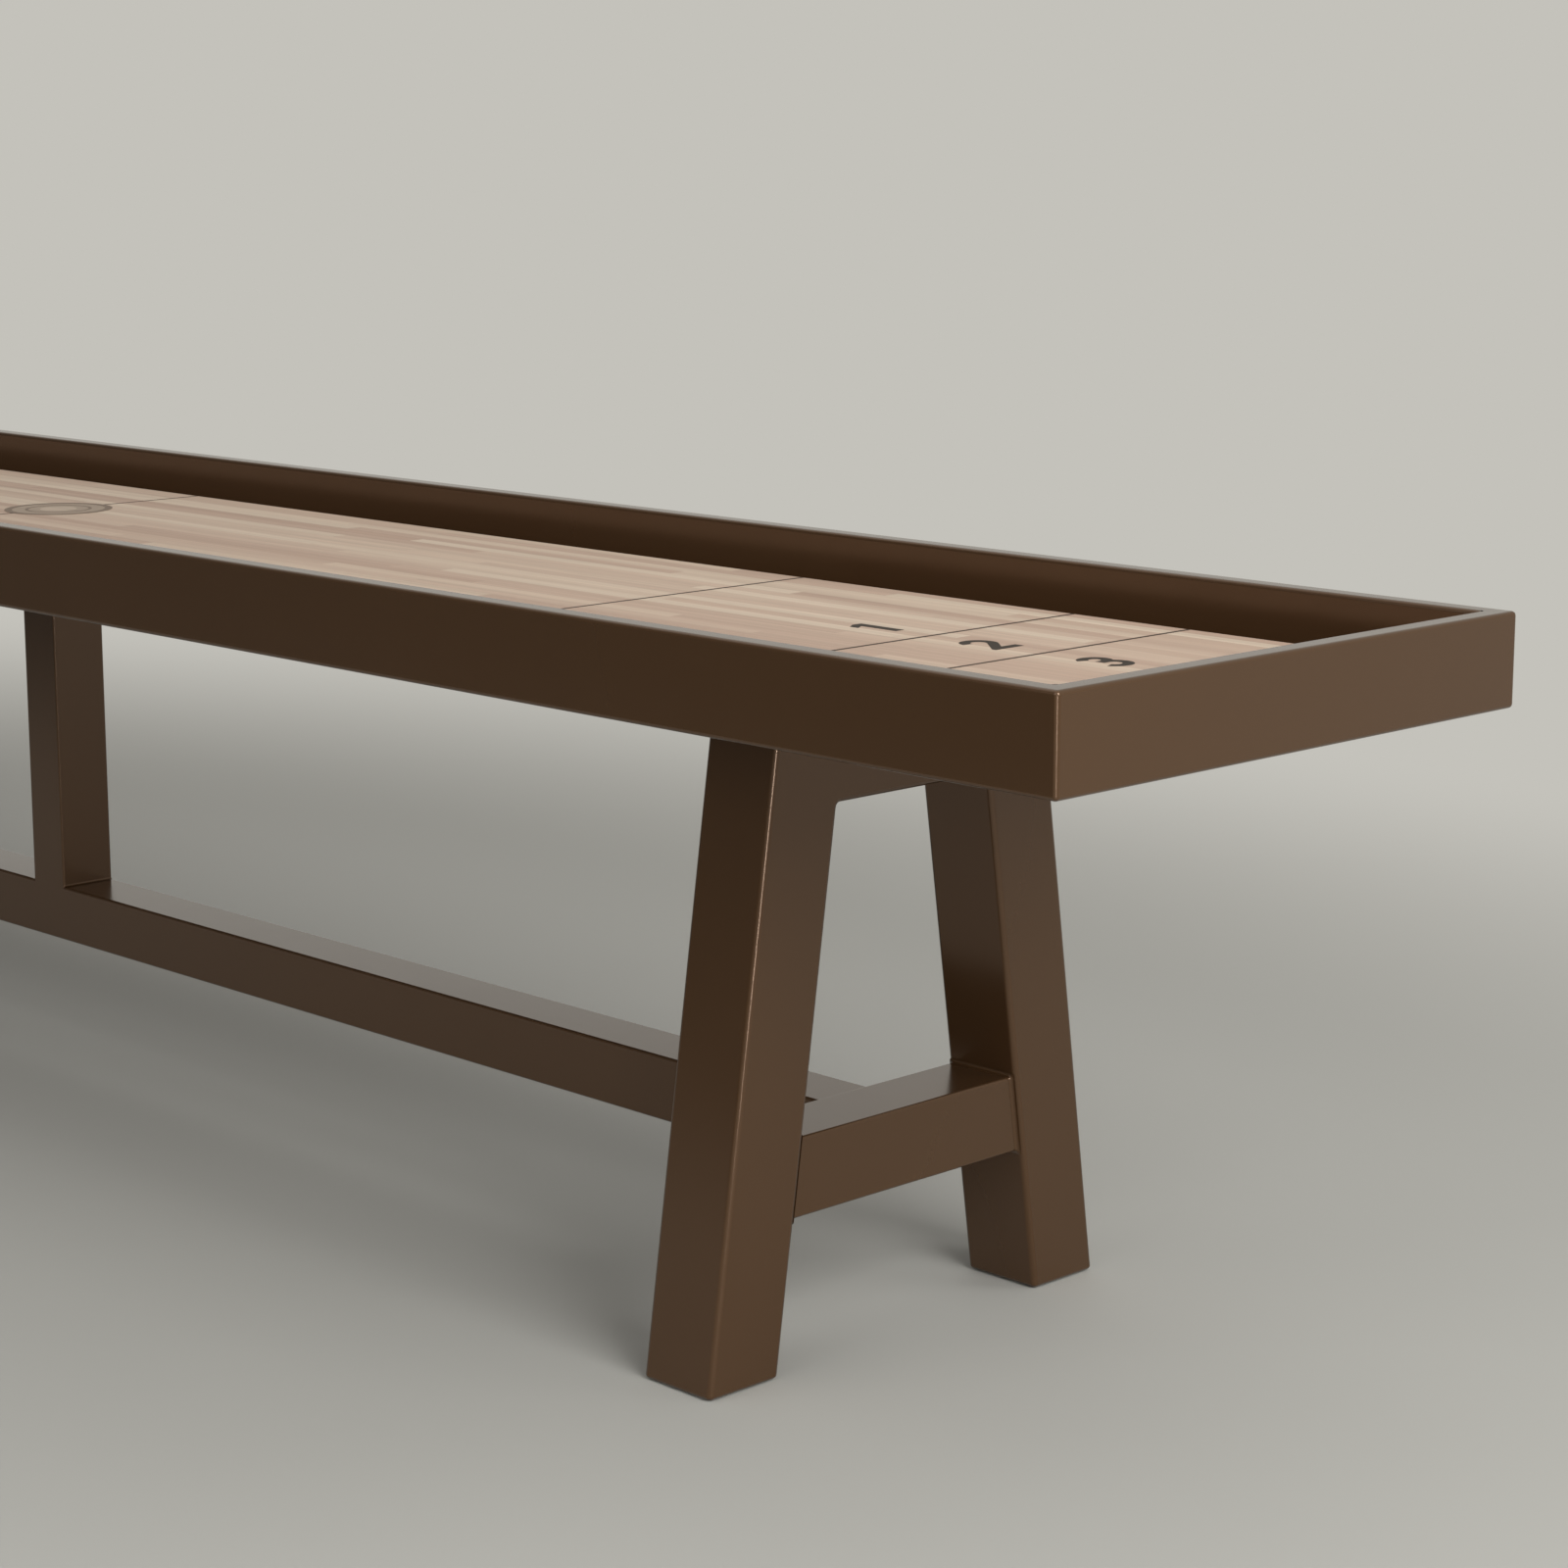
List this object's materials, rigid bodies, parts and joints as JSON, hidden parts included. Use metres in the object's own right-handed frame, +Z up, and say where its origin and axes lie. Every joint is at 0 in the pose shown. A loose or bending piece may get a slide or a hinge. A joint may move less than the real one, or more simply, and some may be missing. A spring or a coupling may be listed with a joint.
{
  "type": "shuffleboard table",
  "caption": "Long shuffleboard table: a raised wooden playfield in a shallow steel tray with gutters all round, on splayed trestles tied by a low stretcher and a centre post.",
  "frame": {"origin": "on the floor under the middle of the table", "axes": "+X along the table, +Y across it, +Z up"},
  "size_m": [4, 0.664, 0.762],
  "materials": {
    "frame_coat": "satin powder coat, dark bronze brown",
    "gutter_coat": "satin powder coat, dark bronze brown",
    "playfield_wood": "clear satin varnish over laminated strips",
    "zinc_steel": "zinc plated",
    "foot_rubber": "matt black"
  },
  "bodies": {
    "table": {"near_rail": "frame_coat", "right_end_rail": "frame_coat", "far_rail": "frame_coat", "left_end_rail": "frame_coat", "left_crossmember_1": "frame_coat", "left_crossmember_2": "frame_coat", "left_crossmember_3": "frame_coat", "left_crossmember_4": "frame_coat", "left_crossmember_5": "frame_coat", "left_crossmember_6": "frame_coat", "right_crossmember_1": "frame_coat", "right_crossmember_2": "frame_coat", "right_crossmember_3": "frame_coat", "right_crossmember_4": "frame_coat", "right_crossmember_5": "frame_coat", "right_crossmember_6": "frame_coat", "left_gutter_floor": "gutter_coat", "right_gutter_floor": "gutter_coat", "playfield": "playfield_wood", "left_near_leg": "frame_coat", "left_near_foot_plate": "frame_coat", "left_far_leg": "frame_coat", "left_far_foot_plate": "frame_coat", "left_top_beam": "frame_coat", "left_lower_crossbar": "frame_coat", "left_mounting_plate": "frame_coat", "left_plate_bolt_1": "zinc_steel", "left_plate_bolt_2": "zinc_steel", "left_plate_bolt_3": "zinc_steel", "left_plate_bolt_4": "zinc_steel", "right_near_leg": "frame_coat", "right_near_foot_plate": "frame_coat", "right_far_leg": "frame_coat", "right_far_foot_plate": "frame_coat", "right_top_beam": "frame_coat", "right_lower_crossbar": "frame_coat", "right_mounting_plate": "frame_coat", "right_plate_bolt_1": "zinc_steel", "right_plate_bolt_2": "zinc_steel", "right_plate_bolt_3": "zinc_steel", "right_plate_bolt_4": "zinc_steel", "stretcher": "frame_coat", "left_stretcher_spigot": "frame_coat", "left_stretcher_screw": "zinc_steel", "right_stretcher_spigot": "frame_coat", "right_stretcher_screw": "zinc_steel", "centre_post": "frame_coat", "post_top_plate": "frame_coat", "left_post_bolt": "zinc_steel", "right_post_bolt": "zinc_steel"},
    "left_near_foot": {"left_near_foot_pad": "foot_rubber", "left_near_foot_stem": "zinc_steel"},
    "left_far_foot": {"left_far_foot_pad": "foot_rubber", "left_far_foot_stem": "zinc_steel"},
    "right_near_foot": {"right_near_foot_pad": "foot_rubber", "right_near_foot_stem": "zinc_steel"},
    "right_far_foot": {"right_far_foot_pad": "foot_rubber", "right_far_foot_stem": "zinc_steel"}
  },
  "joints": [
    {"name": "left_near_foot_thread", "type": "slide", "parent": "table", "child": "left_near_foot", "axis": [0, 0, -1], "range_m": [0, 0.012]},
    {"name": "left_far_foot_thread", "type": "slide", "parent": "table", "child": "left_far_foot", "axis": [0, 0, -1], "range_m": [0, 0.012]},
    {"name": "right_near_foot_thread", "type": "slide", "parent": "table", "child": "right_near_foot", "axis": [0, 0, -1], "range_m": [0, 0.012]},
    {"name": "right_far_foot_thread", "type": "slide", "parent": "table", "child": "right_far_foot", "axis": [0, 0, -1], "range_m": [0, 0.012]}
  ]
}
